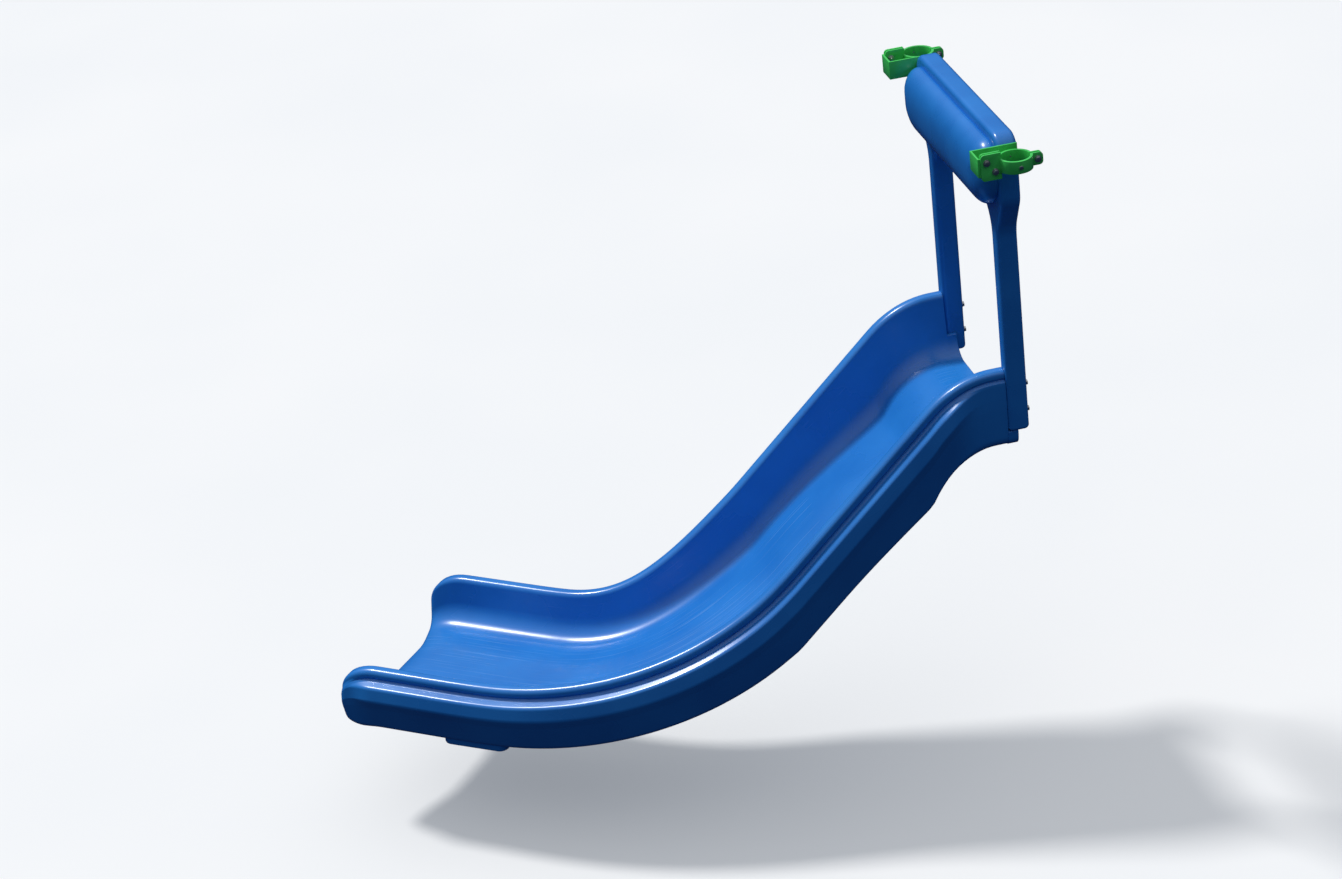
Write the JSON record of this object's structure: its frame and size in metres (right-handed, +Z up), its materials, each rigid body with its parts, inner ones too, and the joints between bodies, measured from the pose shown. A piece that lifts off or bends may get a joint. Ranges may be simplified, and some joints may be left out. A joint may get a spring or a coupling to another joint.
{
  "type": "wave slide",
  "caption": "Open wave slide with a steep fall, a run-out that turns right, and an arched entry hood clamped to two deck posts.",
  "frame": {"origin": "middle of the vertical face that bolts to the deck edge, 25 mm below the deck surface", "axes": "+X away from the deck along the start of the run, +Y to the rider's left, +Z up"},
  "size_m": [2.2779, 1.3522, 1.9449],
  "materials": {
    "blue_polyethylene": "rotationally moulded polyethylene, satin gloss",
    "green_powder_coat": "gloss powder coat on steel",
    "zinc_steel": "bright zinc plate",
    "black_oxide_steel": "black oxide",
    "brass": "machined",
    "black_plastic": "moulded"
  },
  "bodies": {
    "root": {"bracket_bolts": "zinc_steel", "bracket_washers": "zinc_steel", "chute": "blue_polyethylene", "chute_end_inserts": "brass", "chute_vent_plugs": "black_plastic", "deck_inserts": "brass", "foot_bolts": "black_oxide_steel", "foot_inserts": "brass", "foot_washers": "black_oxide_steel", "hood": "blue_polyethylene", "hood_brow": "blue_polyethylene", "hood_leg_bolts": "zinc_steel", "hood_leg_sleeves": "zinc_steel", "hood_leg_washers": "zinc_steel", "hood_side_inserts": "brass", "hood_vent_plugs": "black_plastic", "left_clamp_bolts": "zinc_steel", "left_clamp_inner_half": "green_powder_coat", "left_clamp_lock_screws": "zinc_steel", "left_clamp_nuts": "zinc_steel", "left_clamp_outer_half": "green_powder_coat", "left_clamp_washers": "zinc_steel", "left_hood_bracket": "green_powder_coat", "right_clamp_bolts": "zinc_steel", "right_clamp_inner_half": "green_powder_coat", "right_clamp_lock_screws": "zinc_steel", "right_clamp_nuts": "zinc_steel", "right_clamp_outer_half": "green_powder_coat", "right_clamp_washers": "zinc_steel", "right_hood_bracket": "green_powder_coat"}
  },
  "joints": []
}
